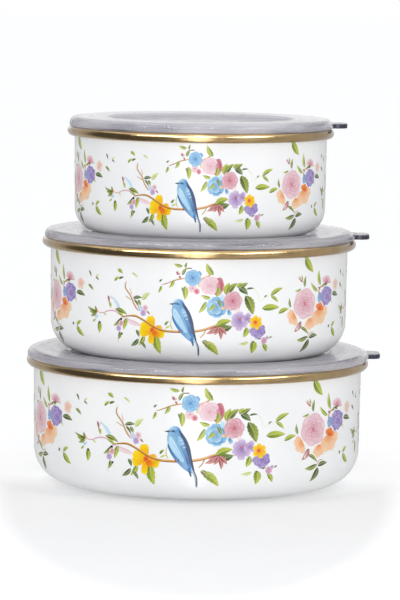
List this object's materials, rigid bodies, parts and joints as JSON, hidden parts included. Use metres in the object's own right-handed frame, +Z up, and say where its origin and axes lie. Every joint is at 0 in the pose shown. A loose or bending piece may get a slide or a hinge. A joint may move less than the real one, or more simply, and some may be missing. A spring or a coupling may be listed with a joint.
{
  "type": "stacking lidded bowl set",
  "caption": "Round white enamelled food bowls with gold rims, flower and bird print and clear lids with finger tabs, stacked in the recesses of the lids; each lid and bowl lifts off.",
  "frame": {"origin": "centre of the large bowl's base, on the axis of the stack, at table height", "axes": "+Z up through the stack; +X towards the lids' finger tabs; the bird of each print faces -Y"},
  "size_m": [0.1946, 0.1882, 0.2007],
  "materials": {
    "enamel": "glossy white vitreous enamel on steel sheet, with a fired flower and bird print",
    "gold_rim": "polished, gold coloured",
    "clear_lid": "clear, slightly smoky moulded plastic"
  },
  "bodies": {
    "large_bowl": {"large_bowl": "enamel", "large_rim_band": "gold_rim"},
    "large_lid": {"large_lid": "clear_lid"},
    "medium_bowl": {"medium_bowl": "enamel", "medium_rim_band": "gold_rim"},
    "medium_lid": {"medium_lid": "clear_lid"},
    "small_bowl": {"small_bowl": "enamel", "small_rim_band": "gold_rim"},
    "small_lid": {"small_lid": "clear_lid"}
  },
  "joints": [
    {"name": "large_lid_lift", "type": "slide", "parent": "large_bowl", "child": "large_lid", "axis": [0, 0, 1], "range_m": [0, 0.06]},
    {"name": "medium_bowl_lift", "type": "slide", "parent": "large_lid", "child": "medium_bowl", "axis": [0, 0, 1], "range_m": [0, 0.08]},
    {"name": "medium_lid_lift", "type": "slide", "parent": "medium_bowl", "child": "medium_lid", "axis": [0, 0, 1], "range_m": [0, 0.06]},
    {"name": "small_bowl_lift", "type": "slide", "parent": "medium_lid", "child": "small_bowl", "axis": [0, 0, 1], "range_m": [0, 0.08]},
    {"name": "small_lid_lift", "type": "slide", "parent": "small_bowl", "child": "small_lid", "axis": [0, 0, 1], "range_m": [0, 0.06]}
  ]
}
